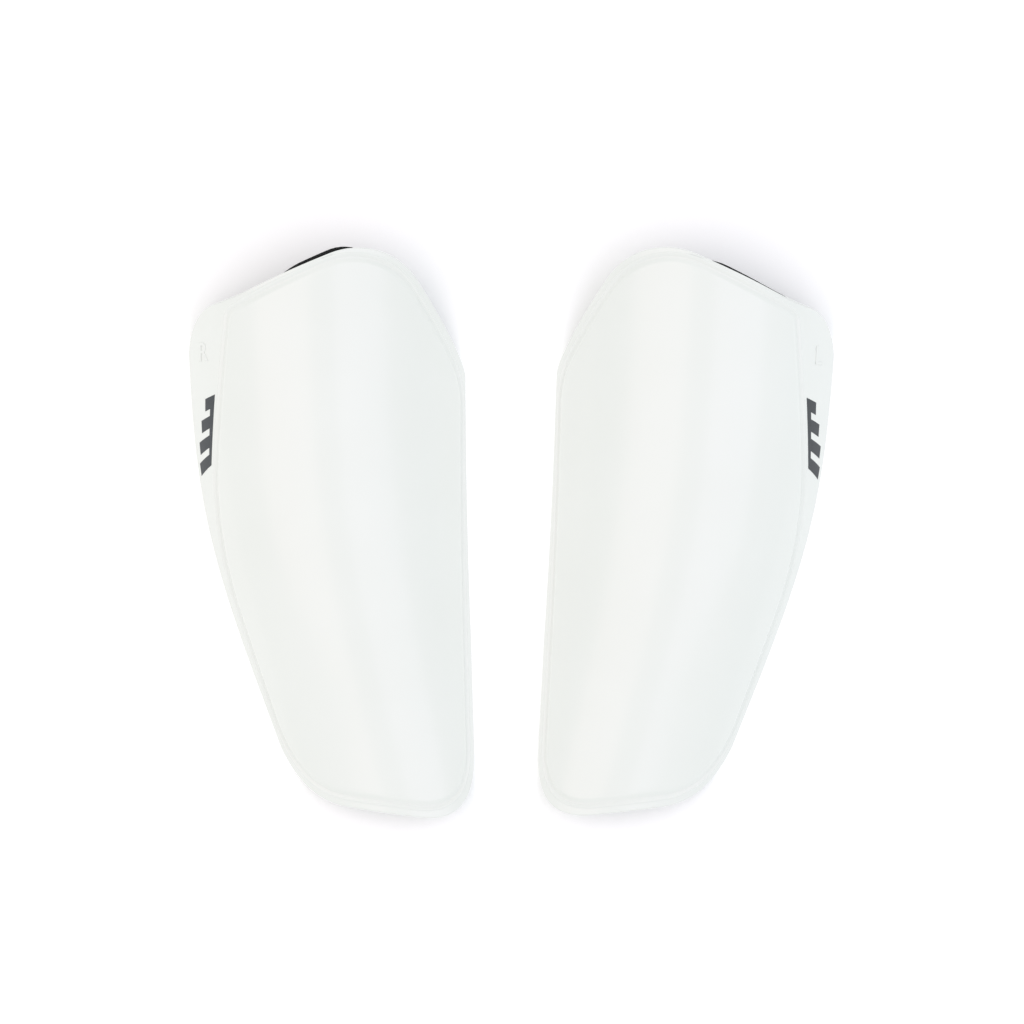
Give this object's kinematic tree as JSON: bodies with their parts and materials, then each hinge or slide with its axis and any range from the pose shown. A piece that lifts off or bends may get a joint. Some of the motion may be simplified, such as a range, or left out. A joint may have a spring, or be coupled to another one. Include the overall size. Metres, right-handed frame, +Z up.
{
  "type": "shin guard pair",
  "caption": "Slip-in football shin guards, right and left: a curved moulded shell with a raised panel and a side wing, lined with foam and knit, that shields the shin.",
  "frame": {"origin": "on the ground plane, under the middle of the pair", "axes": "+X across the pair from the right-leg guard to the left-leg guard, +Y towards the knee, +Z up out of the outer faces"},
  "size_m": [0.2412, 0.2106, 0.0335],
  "materials": {
    "shell": "semi-gloss white injection-moulded polypropylene",
    "bond_film": "dull translucent adhesive film",
    "foam": "matte black closed-cell EVA foam",
    "lining": "black knitted polyester, brushed to the skin",
    "print": "dark grey heat-transfer film"
  },
  "bodies": {
    "right_guard": {"right_shell": "shell", "right_bond_film": "bond_film", "right_foam_pad": "foam", "right_lining": "lining", "right_side_mark": "print"},
    "left_guard": {"left_shell": "shell", "left_bond_film": "bond_film", "left_foam_pad": "foam", "left_lining": "lining", "left_side_mark": "print"}
  },
  "joints": [
    {"name": "left_guard_lift", "type": "slide", "parent": "right_guard", "child": "left_guard", "axis": [0, 0, 1], "range_m": [0, 0.12]}
  ]
}
